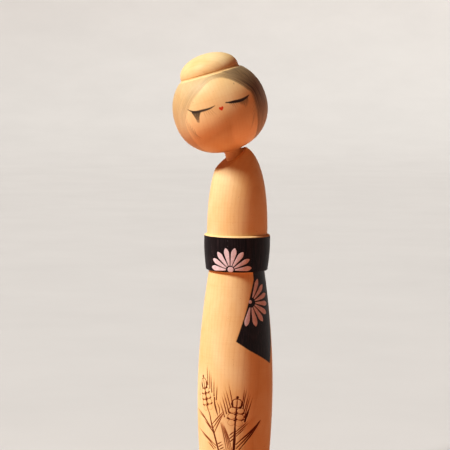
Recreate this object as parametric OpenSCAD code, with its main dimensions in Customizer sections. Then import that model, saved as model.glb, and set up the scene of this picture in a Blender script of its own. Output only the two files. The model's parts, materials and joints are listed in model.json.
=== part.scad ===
// Kokeshi doll, turned in wood: a lower body, a sash band and a torso pinned together with
// one dowel, and a leaning head with a hair bun that turns on its neck peg.
// Origin: centre of the base. +Z is up and the face looks along -Y. Sizes in millimetres.

/* [Lower body] */
// Height of the lower body, from the base up to the sash
lower_h = 136; // [120:0.1:160]
// Radius of the base
base_r = 20.8; // [17:0.1:22]
// Bevel around the foot of the base
base_bevel = 0.8; // [0.3:0.1:2]
// Largest radius of the lower body
belly_r = 23.9; // [22.5:0.1:27]
// Height at which the lower body is widest
belly_z = 58; // [40:1:70]
// Radius of the waist, just under the sash
waist_r = 17.5; // [15:0.1:18.5]
// Fullness of the swell: 1 is a straight cone, 2 a parabola
swell_power = 1.9; // [1.4:0.1:2.4]

/* [Sash] */
// Height of the sash band
sash_h = 22.8; // [16:0.1:30]
// Largest radius of the sash band
sash_r = 20.9; // [20.3:0.1:24]
// How much narrower the sash is at its lower edge
sash_taper = 1.4; // [0.6:0.1:2]
// Rounding of the sash's lower edge
sash_low_round = 0.9; // [0.3:0.1:1.2]
// Rounding of the sash's upper edge
sash_top_round = 1.3; // [0.3:0.1:1.4]
// Depth of the seat that the torso's foot is let into
seat_depth = 1.5; // [0.5:0.1:4]

/* [Torso] */
// Radius of the torso at the sash
torso_r = 19.1; // [17:0.1:19.2]
// Height above the sash at which the torso would close if it weren't cut
torso_h = 56; // [54.8:0.1:58]
// Squareness of the torso's outline: 2 is an ellipse
torso_power = 2.3; // [2.2:0.1:2.6]
// Height at which the slanted cut crosses the middle of the torso
cut_z = 210; // [206:0.1:210.2]
// Slant of the cut, in degrees from level
cut_tilt = 38; // [34:1:40]
// Direction that the slanted face looks, in degrees around from +X
cut_azimuth = 199; // [185:1:215]

/* [Head] */
// Lean of the head and neck to the doll's right, in degrees
head_lean = 17.3; // [14:0.1:19]
// Nod of the head towards the front, in degrees
head_nod = 1.5; // [0:0.1:3]
// Height at which the neck's axis leaves the middle of the torso
neck_z = 200.2; // [199.8:0.1:202]
// Distance along the neck's axis to the head's widest level
head_rise = 39.3; // [39:0.1:42]
// Radius of the head
head_r = 29.9; // [28:0.1:33]
// Height of the head above its widest level, if it weren't cut for the bun
head_up = 29.1; // [28:0.1:33]
// Depth of the head below its widest level
head_down = 27.3; // [26:0.1:28]
// Squareness of the head's outline: 2 is an ellipse
head_power = 2.15; // [2:0.05:2.4]
// Radius of the flat crown that the bun sits on
crown_r = 18.8; // [16:0.1:20]
// Hollow rounding that leads up to the crown
crown_cove = 1.4; // [0.6:0.1:2]

/* [Neck] */
// Radius of the turned neck
neck_r = 5.4; // [4.5:0.1:5.6]
// Hollow rounding where the neck meets the head
neck_round = 1.2; // [0.6:0.1:1.3]
// How far above the crossing of the two axes the neck's foot sits
neck_foot = 2; // [0:0.1:4]

/* [Bun] */
// Radius of the bun
bun_r = 18.7; // [16:0.1:20]
// Height of the bun
bun_h = 12; // [11:0.1:18]
// Height of the bun's widest level above the crown
bun_roll = 0.6; // [0.4:0.1:3]
// How far the bun's lower edge is tucked in
bun_tuck = 0.3; // [0.2:0.1:2]
// Squareness of the bun's outline: 2 is an ellipse
bun_power = 2.05; // [1.9:0.05:2.6]

/* [Dowels] */
// Radius of the dowel through the sash
body_dowel_r = 6; // [4:0.1:8]
// How deep that dowel goes into the lower body
body_dowel_down = 32; // [15:1:60]
// How deep that dowel goes into the torso
body_dowel_up = 20; // [10:1:24]
// Radius of the neck peg
neck_peg_r = 3; // [2:0.1:3.8]
// How far the neck peg goes into the torso below the neck's foot
neck_peg_down = 13; // [8:1:15]
// How deep the neck peg goes into the head, from the neck's foot
neck_peg_up = 30; // [18:1:40]
// Radius of the bun peg
bun_peg_r = 2.5; // [1.5:0.1:4]
// Depth of the bun peg on each side of the crown
bun_peg_depth = 7.5; // [4:0.1:9]

/* [Fits] */
// Radial gap of the neck and its peg, which turn in the torso
turning_gap = 0.05; // [0.02:0.01:0.1]
// Radial gap around the glued dowels
glue_gap = 0.02; // [0.01:0.01:0.05]
// Gap left past the blind end of each dowel
end_gap = 0.5; // [0.2:0.1:1]

/* [Hidden] */
$fn = 128;

lower_steps = 14;   // straight steps along each half of the lower body's swell
dome_steps = 20;    // steps along a quarter of a domed outline
round_steps = 6;    // steps along a small rounding
sash_steps = 8;     // steps along the sash's taper
sash_widest = 0.72; // the sash is widest at this share of its height
sash_curve = 1.6;   // fullness of the sash's taper
cutter = 120;       // side of the block that makes the slanted cut
overrun = 1;        // how far a cut runs past the surface that it opens

sash_top = lower_h + sash_h;
seat_z = sash_top - seat_depth;
torso_foot_h = 3.5;                       // straight foot of the torso, seat included
torso_dome_z = seat_z + torso_foot_h;
torso_dome_h = sash_top + torso_h - torso_dome_z;
neck_foot_h = neck_foot - head_rise;      // the neck's foot, from the head's widest level

// A point on a domed outline: the angle runs from 0 at the widest level to 90 at the pole
function dome_point(angle, radius, height, power) =
    [radius * pow(cos(angle), 2 / power), height * pow(sin(angle), 2 / power)];

// The angle at which a domed outline has shrunk to a given share of its radius
function angle_at_radius(share, power) = acos(pow(share, power / 2));

// Height of the crown: the dome up to where the hollow rounding starts, and that rounding
shoulder_angle = angle_at_radius((crown_r + crown_cove) / head_r, head_power);
shoulder_h = dome_point(shoulder_angle, head_r, head_up, head_power)[1];
crown_h = shoulder_h + crown_cove;

// Radius of the lower body at a height
function swell_r(z) =
    let (above = z > belly_z,
         reach = above ? lower_h - belly_z : belly_z,
         loss = belly_r - (above ? waist_r : base_r))
    belly_r - loss * pow(abs(z - belly_z) / reach, swell_power);

// Radius of the sash at a height above its lower edge
function sash_radius(h) =
    let (widest = sash_h * sash_widest)
    sash_r - (h < widest ? sash_taper * pow((widest - h) / widest, sash_curve) : 0);

// Stands children on the leaning axis of the neck, at the head's widest level
module at_head() {
    translate([0, 0, neck_z])
        rotate([0, -head_lean, 0])
            rotate([head_nod, 0, 0])
                translate([0, 0, head_rise])
                    children();
}

// A round hole or dowel that stands on the axis between two heights
module rod(r, from, to) {
    translate([0, 0, from]) cylinder(r = r, h = to - from);
}

module lower_body() {
    low = [for (i = [0 : lower_steps]) base_bevel + (belly_z - base_bevel) * i / lower_steps];
    high = [for (i = [1 : lower_steps]) belly_z + (lower_h - belly_z) * i / lower_steps];
    color("burlywood")
        difference() {
            rotate_extrude()
                polygon(concat(
                    [[0, 0], [swell_r(0) - base_bevel, 0]],
                    [for (z = concat(low, high)) [swell_r(z), z]],
                    [[0, lower_h]]));
            rod(body_dowel_r + glue_gap, lower_h - body_dowel_down - end_gap, lower_h + overrun);
        }
}

module sash_band() {
    low = sash_low_round;
    top = sash_top_round;
    low_r = sash_radius(low) - low;
    color("#241a1a")
        translate([0, 0, lower_h])
            difference() {
                rotate_extrude()
                    polygon(concat(
                        [[0, 0]],
                        [for (i = [0 : round_steps]) let (a = 90 * i / round_steps)
                            [low_r + low * sin(a), low - low * cos(a)]],
                        [for (i = [1 : sash_steps]) let (h = low + (sash_h - top - low) * i / sash_steps)
                            [sash_radius(h), h]],
                        [for (i = [1 : round_steps]) let (a = 90 * i / round_steps)
                            [sash_r - top + top * cos(a), sash_h - top + top * sin(a)]],
                        [[0, sash_h]]));
                rod(torso_r + glue_gap, sash_h - seat_depth, sash_h + overrun);
                rod(body_dowel_r + glue_gap, -overrun, sash_h);
            }
}

module torso() {
    color("navajowhite")
        difference() {
            rotate_extrude()
                polygon(concat(
                    [[0, seat_z], [torso_r, seat_z]],
                    [for (i = [0 : dome_steps])
                        dome_point(90 * i / dome_steps, torso_r, torso_dome_h, torso_power)
                            + [0, torso_dome_z]]));
            translate([0, 0, cut_z])
                rotate([0, cut_tilt, cut_azimuth])
                    translate([-cutter / 2, -cutter / 2, 0])
                        cube(cutter);
            at_head() {
                rod(neck_r + turning_gap, neck_foot_h, 0);
                rod(neck_peg_r + turning_gap, neck_foot_h - neck_peg_down - end_gap, 0);
            }
            rod(body_dowel_r + glue_gap, seat_z - overrun, seat_z + body_dowel_up + end_gap);
        }
}

module body_dowel() {
    color("tan")
        rod(body_dowel_r, lower_h - body_dowel_down, seat_z + body_dowel_up);
}

module head() {
    joint_r = neck_r + neck_round;
    under = angle_at_radius(joint_r / head_r, head_power);
    under_z = -dome_point(under, head_r, head_down, head_power)[1];
    color("wheat")
        at_head()
            difference() {
                rotate_extrude()
                    polygon(concat(
                        [[0, neck_foot_h], [neck_r, neck_foot_h]],
                        [for (i = [0 : round_steps - 1]) let (a = 90 * i / round_steps)
                            [joint_r - neck_round * cos(a), under_z - neck_round + neck_round * sin(a)]],
                        [for (i = [0 : dome_steps])
                            let (p = dome_point(under * (1 - i / dome_steps), head_r, head_down, head_power))
                            [p[0], -p[1]]],
                        [for (i = [1 : dome_steps])
                            dome_point(shoulder_angle * i / dome_steps, head_r, head_up, head_power)],
                        [for (i = [1 : round_steps]) let (a = 90 * i / round_steps)
                            [crown_r + crown_cove * (1 - sin(a)), crown_h - crown_cove * cos(a)]],
                        [[0, crown_h]]));
                rod(neck_peg_r + glue_gap, neck_foot_h - overrun, neck_foot_h + neck_peg_up + end_gap);
                rod(bun_peg_r + glue_gap, crown_h - bun_peg_depth - end_gap, crown_h + overrun);
            }
}

module neck_peg() {
    color("tan")
        at_head()
            rod(neck_peg_r, neck_foot_h - neck_peg_down, neck_foot_h + neck_peg_up);
}

module hair_bun() {
    tuck_angle = angle_at_radius((bun_r - bun_tuck) / bun_r, bun_power);
    tuck_share = dome_point(tuck_angle, bun_r, 1, bun_power)[1];
    color("bisque")
        at_head()
            translate([0, 0, crown_h])
                difference() {
                    rotate_extrude()
                        polygon(concat(
                            [[0, 0]],
                            [for (i = [0 : round_steps - 1])
                                let (p = dome_point(tuck_angle * (1 - i / round_steps),
                                                    bun_r, bun_roll / tuck_share, bun_power))
                                [p[0], bun_roll - p[1]]],
                            [for (i = [0 : dome_steps])
                                dome_point(90 * i / dome_steps, bun_r, bun_h - bun_roll, bun_power)
                                    + [0, bun_roll]]));
                    rod(bun_peg_r + glue_gap, -overrun, bun_peg_depth + end_gap);
                }
}

module bun_peg() {
    color("tan")
        at_head()
            rod(bun_peg_r, crown_h - bun_peg_depth, crown_h + bun_peg_depth);
}

lower_body();
sash_band();
torso();
body_dowel();
head();
neck_peg();
hair_bun();
bun_peg();
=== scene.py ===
"""Kokeshi doll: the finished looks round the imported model.

Sizes are in millimetres and angles in degrees, unless a name says otherwise. A piece's azimuth is
counted from its front, the side that looks along -Y, and is positive towards +X.
"""
import json
from math import acos, cos, degrees, pi, radians, sin

import bpy
import numpy as np
from mathutils import Matrix, Vector


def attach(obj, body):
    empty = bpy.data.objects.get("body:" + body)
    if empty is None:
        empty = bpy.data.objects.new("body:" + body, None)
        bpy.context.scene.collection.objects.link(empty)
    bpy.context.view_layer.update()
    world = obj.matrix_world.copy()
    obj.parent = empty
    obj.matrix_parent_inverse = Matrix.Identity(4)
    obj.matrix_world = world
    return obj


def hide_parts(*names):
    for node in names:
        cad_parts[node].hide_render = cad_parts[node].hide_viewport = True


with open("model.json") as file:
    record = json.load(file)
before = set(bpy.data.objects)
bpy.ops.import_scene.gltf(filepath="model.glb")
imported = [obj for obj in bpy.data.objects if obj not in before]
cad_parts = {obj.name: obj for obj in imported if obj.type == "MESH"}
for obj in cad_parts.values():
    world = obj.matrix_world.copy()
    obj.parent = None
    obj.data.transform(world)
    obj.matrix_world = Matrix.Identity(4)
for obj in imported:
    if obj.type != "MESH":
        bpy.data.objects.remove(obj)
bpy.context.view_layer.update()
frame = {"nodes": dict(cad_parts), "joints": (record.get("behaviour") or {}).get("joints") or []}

MM = 0.001

# ---- driving dimensions

# Outlines, as the design has them
BASE_R = 20.8
BASE_ROUND = 0.8
BELLY_Z = 58.0
WAIST_R = 17.5
SWELL_POWER = 1.9
SASH_TAPER = 1.4
SASH_WIDEST = 0.72
SASH_CURVE = 1.6
SASH_LOW_ROUND = 0.9
SASH_TOP_ROUND = 1.3
TORSO_FOOT_H = 3.5
TORSO_CLOSE_H = 56.0
TORSO_POWER = 2.3
CUT_Z = 210.0
CUT_TILT = 38.0
CUT_AZIMUTH = 199.0
HEAD_UP = 29.1
HEAD_DOWN = 27.3
HEAD_POWER = 2.15
CROWN_R = 18.8
CROWN_COVE = 1.4
NECK_R = 5.4
NECK_ROUND = 1.2
BUN_ROLL = 0.6
BUN_TUCK = 0.3
BUN_POWER = 2.05
TURNING_GAP = 0.05
GLUE_GAP = 0.02
END_GAP = 0.5


class Turn:
    """A turning axis: places points given as right, back and up of its origin."""

    def __init__(self, origin, up):
        self.origin = np.array(origin, float)
        up = np.array(up, float) / np.linalg.norm(up)
        right = np.cross((0.0, 1.0, 0.0), up)
        right /= np.linalg.norm(right)
        self.basis = np.stack([right, np.cross(up, right), up])

    def place(self, local):
        """World positions of points given on this axis."""
        return self.origin + np.asarray(local) @ self.basis

    def find(self, points):
        """Positions on this axis of points given in the world."""
        return (np.asarray(points) - self.origin) @ self.basis.T

    def raised(self, height):
        """The same axis with its origin moved up along it."""
        return Turn(self.origin + height * self.basis[2], self.basis[2])


def spans(node, turn):
    """Lowest and highest height, largest radius and the height of that, of a CAD node on an axis."""
    points = np.array([v.co for v in frame["nodes"][node].data.vertices]) / MM
    local = turn.find(points)
    radius = np.hypot(local[:, 0], local[:, 1])
    return local[:, 2].min(), local[:, 2].max(), radius.max(), local[radius.argmax(), 2]


BODY = Turn((0, 0, 0), (0, 0, 1))
joint = frame["joints"][0]
NECK = Turn(np.array(joint["pos_m"]) / MM, joint["axis"])
HEAD = NECK.raised(spans("head", NECK)[3])

_, WAIST_Z, BELLY_R, _ = spans("lower_body", BODY)
_, SASH_TOP, SASH_R, _ = spans("sash_band", BODY)
SEAT_Z, _, TORSO_R, _ = spans("torso", BODY)
DOWEL_LOW, DOWEL_HIGH, DOWEL_R, _ = spans("body_dowel", BODY)
NECK_FOOT, CROWN, HEAD_R, _ = spans("head", HEAD)
_, BUN_TOP, BUN_R, _ = spans("hair_bun", HEAD)
PEG_LOW, PEG_HIGH, PEG_R, _ = spans("neck_peg", HEAD)
BUN_PEG_LOW, BUN_PEG_HIGH, BUN_PEG_R, _ = spans("bun_peg", HEAD)
SASH_H = SASH_TOP - WAIST_Z

# ---- outlines


def dome(angle, radius, height, power):
    """A point on a domed outline, from 0 degrees at the widest level to 90 at the pole."""
    angle = np.radians(angle)
    return radius * np.cos(angle) ** (2 / power), height * np.sin(angle) ** (2 / power)


def dome_radius(height, radius, reach, power):
    """Radius of a domed outline at a height above its widest level."""
    return radius * (1 - np.clip(np.abs(height) / reach, 0, 1) ** power) ** (1 / power)


def swell_radius(z):
    """Radius of the lower body at a height."""
    above = z > BELLY_Z
    reach = np.where(above, WAIST_Z - BELLY_Z, BELLY_Z)
    loss = BELLY_R - np.where(above, WAIST_R, BASE_R)
    return BELLY_R - loss * (np.abs(z - BELLY_Z) / reach) ** SWELL_POWER


def sash_radius(h):
    """Radius of the sash at a height above its lower edge."""
    widest = SASH_H * SASH_WIDEST
    return SASH_R - SASH_TAPER * np.clip((widest - h) / widest, 0, None) ** SASH_CURVE


def head_radius(h):
    """Radius of the head at a height above its widest level."""
    return np.where(h > 0, dome_radius(h, HEAD_R, HEAD_UP, HEAD_POWER),
                    dome_radius(h, HEAD_R, HEAD_DOWN, HEAD_POWER))


def steps(low, high, step):
    """Even heights from low to high, about a step apart."""
    return np.linspace(low, high, max(2, int(round(abs(high - low) / step)) + 1))


def rounding(centre_r, centre_h, radius, first, last, count=6):
    """Points along an arc, by their direction from its centre: 0 is outwards and 90 up."""
    return [(centre_r + radius * cos(radians(a)), centre_h + radius * sin(radians(a)))
            for a in np.linspace(first, last, count)]


def columns(*parts):
    """Azimuths round a ring, from (end, step) parts that start at -180 degrees."""
    start, found = -180.0, []
    for end, step in parts:
        count = max(1, int(round((end - start) / step)))
        found.append(np.linspace(start, end, count, endpoint=False))
        start = end
    return np.concatenate(found)


# ---- meshes

SHARP_ANGLE = 32.0   # edges sharper than this are shaded sharp


class Skin:
    """A closed surface made of rings of points, in a turning axis's own coordinates."""

    def __init__(self, turn, spread, closed=False):
        self.turn = turn
        self.spread = np.append(spread, 180.0)
        self.closed = closed
        self.rings = []

    def ring(self, azimuths, points):
        """Adds one ring, joined to the ring before it."""
        self.rings.append((np.asarray(azimuths, float), np.asarray(points, float)))

    def turned(self, outline, azimuths):
        """Adds rings of a turned outline, each an (r, h) pair."""
        a = np.radians(azimuths)
        for r, h in outline:
            self.ring(azimuths, np.stack([r * np.sin(a), -r * np.cos(a), np.full(len(a), h)], 1))

    def pole(self, h):
        """Adds the single point that closes an end."""
        self.ring([0.0], [(0.0, 0.0, h)])

    def finish(self):
        """Works out every vertex's azimuth, radius and height."""
        self.azimuth = np.concatenate([a for a, _ in self.rings])
        self.local = np.concatenate([p for _, p in self.rings])
        self.radius = np.hypot(self.local[:, 0], self.local[:, 1])
        self.height = self.local[:, 2]
        sizes = [len(a) for a, _ in self.rings]
        self.first = np.concatenate([[0], np.cumsum(sizes)])

    def across(self, azimuths):
        """How far round the bake texture each azimuth lies: crowded columns get more of it."""
        return np.interp(azimuths, self.spread, np.linspace(0, 1, len(self.spread)))

    def strip(self, low, high):
        """Faces between two rings, with their bake coordinates."""
        (a, _), (b, _) = self.rings[low], self.rings[high]
        at_a, at_b = self.first[low], self.first[high]
        v = (low / len(self.rings), (low + 1) / len(self.rings))
        ua, ub = np.append(self.across(a), 1.0), np.append(self.across(b), 1.0)
        if len(a) == len(b) and np.allclose(a, b):
            i = np.arange(len(a))
            j = (i + 1) % len(a)
            faces = np.stack([at_a + i, at_a + j, at_b + j, at_b + i], 1).tolist()
            u = np.stack([ua[i], ua[i + 1], ub[i + 1], ub[i]], 1)
            return faces, np.stack([u, np.tile([v[0], v[0], v[1], v[1]], (len(a), 1))], 2).reshape(-1, 2)
        faces, uv = [], []
        i = j = 0
        steps_a, steps_b = (0 if len(a) == 1 else len(a)), (0 if len(b) == 1 else len(b))
        ends_a, ends_b = np.append(a, 180.0), np.append(b, 180.0)
        while i < steps_a or j < steps_b:
            if j >= steps_b or (i < steps_a and ends_a[i + 1] <= ends_b[j + 1]):
                near = ub[j] if steps_b else (ua[i] + ua[i + 1]) / 2
                faces.append([at_a + i, at_a + (i + 1) % len(a), at_b + j % len(b)])
                uv += [(ua[i], v[0]), (ua[i + 1], v[0]), (near, v[1])]
                i += 1
            else:
                near = ua[i] if steps_a else (ub[j] + ub[j + 1]) / 2
                faces.append([at_a + i % len(a), at_b + (j + 1) % len(b), at_b + j])
                uv += [(near, v[0]), (ub[j + 1], v[1]), (ub[j], v[1])]
                j += 1
        return faces, np.array(uv)

    def mesh(self, name, fields):
        """The Blender mesh, with the wood's coordinates and each painted field stored on its points."""
        faces, uv = [], []
        pairs = [(k, k + 1) for k in range(len(self.rings) - 1)]
        if self.closed:
            pairs.append((len(self.rings) - 1, 0))
        for low, high in pairs:
            more, corners = self.strip(low, high)
            faces += more
            uv.append(corners)
        mesh = bpy.data.meshes.new(name)
        mesh.from_pydata((self.turn.place(self.local) * MM).tolist(), [], faces)
        mesh.uv_layers.new(name="OFBake").data.foreach_set("uv", np.concatenate(uv).ravel())
        store(mesh, "wood", self.local)
        for field, values in fields.items():
            store(mesh, field, values)
        mesh.shade_smooth()
        mesh.set_sharp_from_angle(angle=radians(SHARP_ANGLE))
        return mesh


def store(mesh, name, values):
    """Stores a number or a direction on each point of a mesh."""
    values = np.asarray(values, np.float32)
    kind, key = ("FLOAT", "value") if values.ndim == 1 else ("FLOAT_VECTOR", "vector")
    mesh.attributes.new(name, kind, "POINT").data.foreach_set(key, values.ravel())


def show(name, data):
    """Puts a mesh, a light or a camera into the scene."""
    thing = bpy.data.objects.new(name, data)
    bpy.context.scene.collection.objects.link(thing)
    return thing


def add_piece(node, skin, body, material, fields):
    """Puts a finished skin in place of its CAD node."""
    name = node + "_turned"
    piece = show(name, skin.mesh(name, fields))
    piece.data.materials.append(material)
    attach(piece, body)
    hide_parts(node)


# ---- drawing on surfaces

EVEN = (1.0, 1.0)    # a stroke that neither thins nor fades
FIELD_REACH = 3.0    # painted fields store distances up to this far from an edge
PETAL_EDGE = 0.3     # width over which a petal's thickness of paint builds up


def unit(v):
    """The same direction with a length of one."""
    return v / np.linalg.norm(v, axis=-1, keepdims=True)


def curve(points, per_span=6):
    """A smooth line through a few chosen points."""
    p = np.array(points, float)
    if len(p) == 2:
        return np.linspace(p[0], p[1], per_span + 1)
    p = np.vstack([2 * p[0] - p[1], p, 2 * p[-1] - p[-2]])
    t = np.linspace(0, 1, per_span, endpoint=False)[:, None]
    parts = []
    for a, b, c, d in zip(p, p[1:], p[2:], p[3:]):
        parts.append(0.5 * (2 * b + (c - a) * t + (2 * a - 5 * b + 4 * c - d) * t ** 2
                            + (3 * b - a - 3 * c + d) * t ** 3))
    return np.vstack(parts + [p[-2:-1]])


def line_distance(p, line):
    """Distance from each point to a line, and how far along it the nearest place is, from 0 to 1."""
    best = np.full(len(p), 1e9)
    along = np.zeros(len(p))
    lengths = np.linalg.norm(np.diff(line, axis=0), axis=1)
    total, passed = lengths.sum(), 0.0
    for a, b, length in zip(line, line[1:], lengths):
        t = np.clip((p - a) @ (b - a) / max(length, 1e-9) ** 2, 0, 1)
        d = np.linalg.norm(p - a - t[:, None] * (b - a), axis=1)
        nearer = d < best
        best[nearer] = d[nearer]
        along[nearer] = (passed + t[nearer] * length) / total
        passed += length
    return best, along


def inside_distance(p, corners):
    """Distance from each point to a closed outline, positive inside it."""
    corners = np.array(corners, float)
    ends = np.roll(corners, -1, axis=0)
    inside = np.zeros(len(p), bool)
    for (ax, ay), (bx, by) in zip(corners, ends):
        crosses = (ay > p[:, 1]) != (by > p[:, 1])
        if ay != by:
            inside ^= crosses & (p[:, 0] < ax + (p[:, 1] - ay) * (bx - ax) / (by - ay))
    distance, _ = line_distance(p, np.vstack([corners, corners[:1]]))
    return np.where(inside, distance, -distance)


class Canvas:
    """Marks drawn on a surface that is rolled out flat, as one strength for each point of a skin."""

    def __init__(self, points, edge=0.28):
        self.p = points
        self.edge = edge
        self.ink = np.zeros(len(points))

    def near(self, line, reach):
        """The points that a line could mark."""
        low, high = line.min(0) - reach, line.max(0) + reach
        return np.flatnonzero(((self.p > low) & (self.p < high)).all(1))

    def stroke(self, points, width, ink=1.0, ends=(0.5, 0.15), fade=(1.0, 0.4), edge=None):
        """A stroke: ends are the shares of its width at each end, and fade those of its ink."""
        edge = edge or self.edge
        line = curve(points)
        at = self.near(line, width + edge)
        if len(at) == 0:
            return
        distance, t = line_distance(self.p[at], line)
        body = np.sin(np.pi * np.clip(t, 0, 1)) ** 0.6
        half = 0.5 * width * np.maximum(body, ends[0] * (1 - t) + ends[1] * t)
        strength = ink * (fade[0] * (1 - t) + fade[1] * t)
        mark = strength * np.clip(0.5 + (half - distance) / edge, 0, 1)
        self.ink[at] = np.maximum(self.ink[at], mark)

    def dot(self, centre, radius, ink=1.0):
        """A round spot."""
        centre = np.array(centre, float)
        distance = np.linalg.norm(self.p - centre, axis=1)
        self.ink = np.maximum(self.ink, ink * np.clip(0.5 + (radius - distance) / self.edge, 0, 1))


def petal_distance(p, centre, angle, near, far, width):
    """Distance inside one blunt petal that points away from a flower's centre, positive inside it."""
    a = radians(angle)
    q = p - np.array(centre)
    u = q @ np.array((cos(a), sin(a)))
    v = np.abs(q @ np.array((-sin(a), cos(a))))
    widest = near + 0.70 * (far - near)
    grow = 0.22 + 0.78 * np.clip((u - near) / (widest - near), 0, 1) ** 0.85
    close = np.clip((u - widest) / (far - widest), 0, 1)
    half = 0.5 * width * grow * (1 - close ** 1.9) ** 0.62
    outside = np.maximum(near - u, u - far)
    return np.where(outside > 0, -outside, half - v)


def half_flower(p, centre, radius, first, step, count, width, jitter):
    """The nearest of a half flower's petals: distance inside it, positive inside."""
    best = np.full(len(p), -50.0)
    for i in range(count):
        wobble = jitter.uniform(-1, 1, 3)
        petal = petal_distance(p, centre, first + i * step + 1.2 * wobble[0], 0.21 * radius,
                               radius * (1 + 0.025 * wobble[1]), width * (1 + 0.06 * wobble[2]))
        best = np.maximum(best, petal)
    return best


# ---- lower body

# Rolled out flat, positions on the lower body are (round, height) in millimetres from the front.
WHEAT_LOW, WHEAT_HIGH = 12.0, 77.5
GROOVE_DEPTH = 0.16
BORDER_DEPTH = 0.08
BORDER_HALF = 0.35
PETAL_LIFT = 0.04


def grain(canvas, knot, along, out, reach, pitch, ink, foot=True):
    """One pale grain of an ear, faintly outlined; most are burnt at their outer foot."""
    middle = knot + out * reach * 0.52 + along * pitch * 0.5
    ring = [middle + out * cos(a) * reach * 0.47 + along * sin(a) * pitch * 0.46
            for a in np.linspace(0, 2 * pi, 13)]
    canvas.stroke(ring, 0.42, 0.5 * ink, EVEN, EVEN)
    if foot:
        burnt = knot + out * reach * 0.72
        end = burnt + out * reach * 0.30 + along * pitch * 0.15
        canvas.stroke([burnt, end], 0.8, ink, (0.6, 0.8), (0.8, 1.0))


def ear(canvas, base, top, tip, rows, width, ink=1.0):
    """An ear of wheat: paired grains up a stem with burnt knots between, and two tall ones on top."""
    base, top, tip = (np.array(p, float) for p in (base, top, tip))
    along = unit(top - base)
    out = np.array((along[1], -along[0]))
    pitch = np.linalg.norm(top - base) / rows
    canvas.stroke([base, top], 0.7, 0.9 * ink, EVEN, EVEN)
    for side in (-1, 1):
        grain(canvas, base - along * pitch, along, out * side, width * 0.46, pitch, 0.7 * ink, foot=False)
    for i in range(rows):
        knot = base + along * pitch * i
        for side in (-1, 1):
            grain(canvas, knot, along, out * side, width * (0.5 - 0.03 * i), pitch, ink)
        knot_line = [knot - out * 0.6 - along * 0.3, knot + out * 0.9 + along * 0.35]
        canvas.stroke(knot_line, 1.15, ink, (0.8, 0.5), EVEN)
    up = tip - top
    canvas.stroke([top, top + up * 0.9], 0.6, 0.8 * ink, (1.0, 0.5), (1.0, 0.8))
    for side in (-1, 1):
        across = out * side * width
        foot = top + across * 0.24
        shoulder = top + across * 0.28 + up * 0.60
        canvas.stroke([foot, top + across * 0.30 + up * 0.30, shoulder], 1.25, ink, (0.8, 0.4), (1.0, 0.85))
        for line in ([shoulder, top + across * 0.18 + up * 0.78, top + up * 0.84],
                     [foot, top + across * 0.12 - up * 0.03, top]):
            canvas.stroke(line, 0.5, 0.7 * ink, EVEN, EVEN)
    canvas.dot(top + out * width * 0.2, 0.7, ink)
    canvas.dot(tip, 0.8, ink)


def awns(canvas, start, end, start_step, end_step, count, jitter, ink=0.95):
    """A fan of bristles, each burnt from its root up and lifted off at the tip."""
    start, end = np.array(start, float), np.array(end, float)
    for i in range(count):
        a, b = start + i * np.array(start_step), end + i * np.array(end_step)
        b = b + jitter.uniform(-0.5, 0.5, 2)
        sway = np.array((jitter.uniform(-0.25, 0.25), 0))
        strength = ink * jitter.uniform(0.85, 1.0)
        canvas.stroke([a, (a + b) / 2 + sway, b], 0.7, strength, (0.9, 0.1), (1.0, 0.12))


def leaf(canvas, bases, tips, sag, width=0.7, ink=0.85, fade=(0.9, 0.5)):
    """A leaf drawn as close strokes from its bases to its tips, bowed sideways by sag."""
    for (a, b) in zip(np.array(bases, float), np.array(tips, float)):
        side = np.array((a[1] - b[1], b[0] - a[0])) / np.linalg.norm(b - a)
        canvas.stroke([a, (a + b) / 2 + side * sag, b], width, ink, ends=(0.6, 0.2), fade=fade)


def hatch(canvas, start, reach, step, count, ink=0.85):
    """Short strokes one under the other."""
    start, reach, step = np.array(start, float), np.array(reach, float), np.array(step, float)
    for i in range(count):
        a = start + i * step
        canvas.stroke([a, a + reach], 0.7, ink, (0.5, 0.3), (0.9, 0.6))


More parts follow.
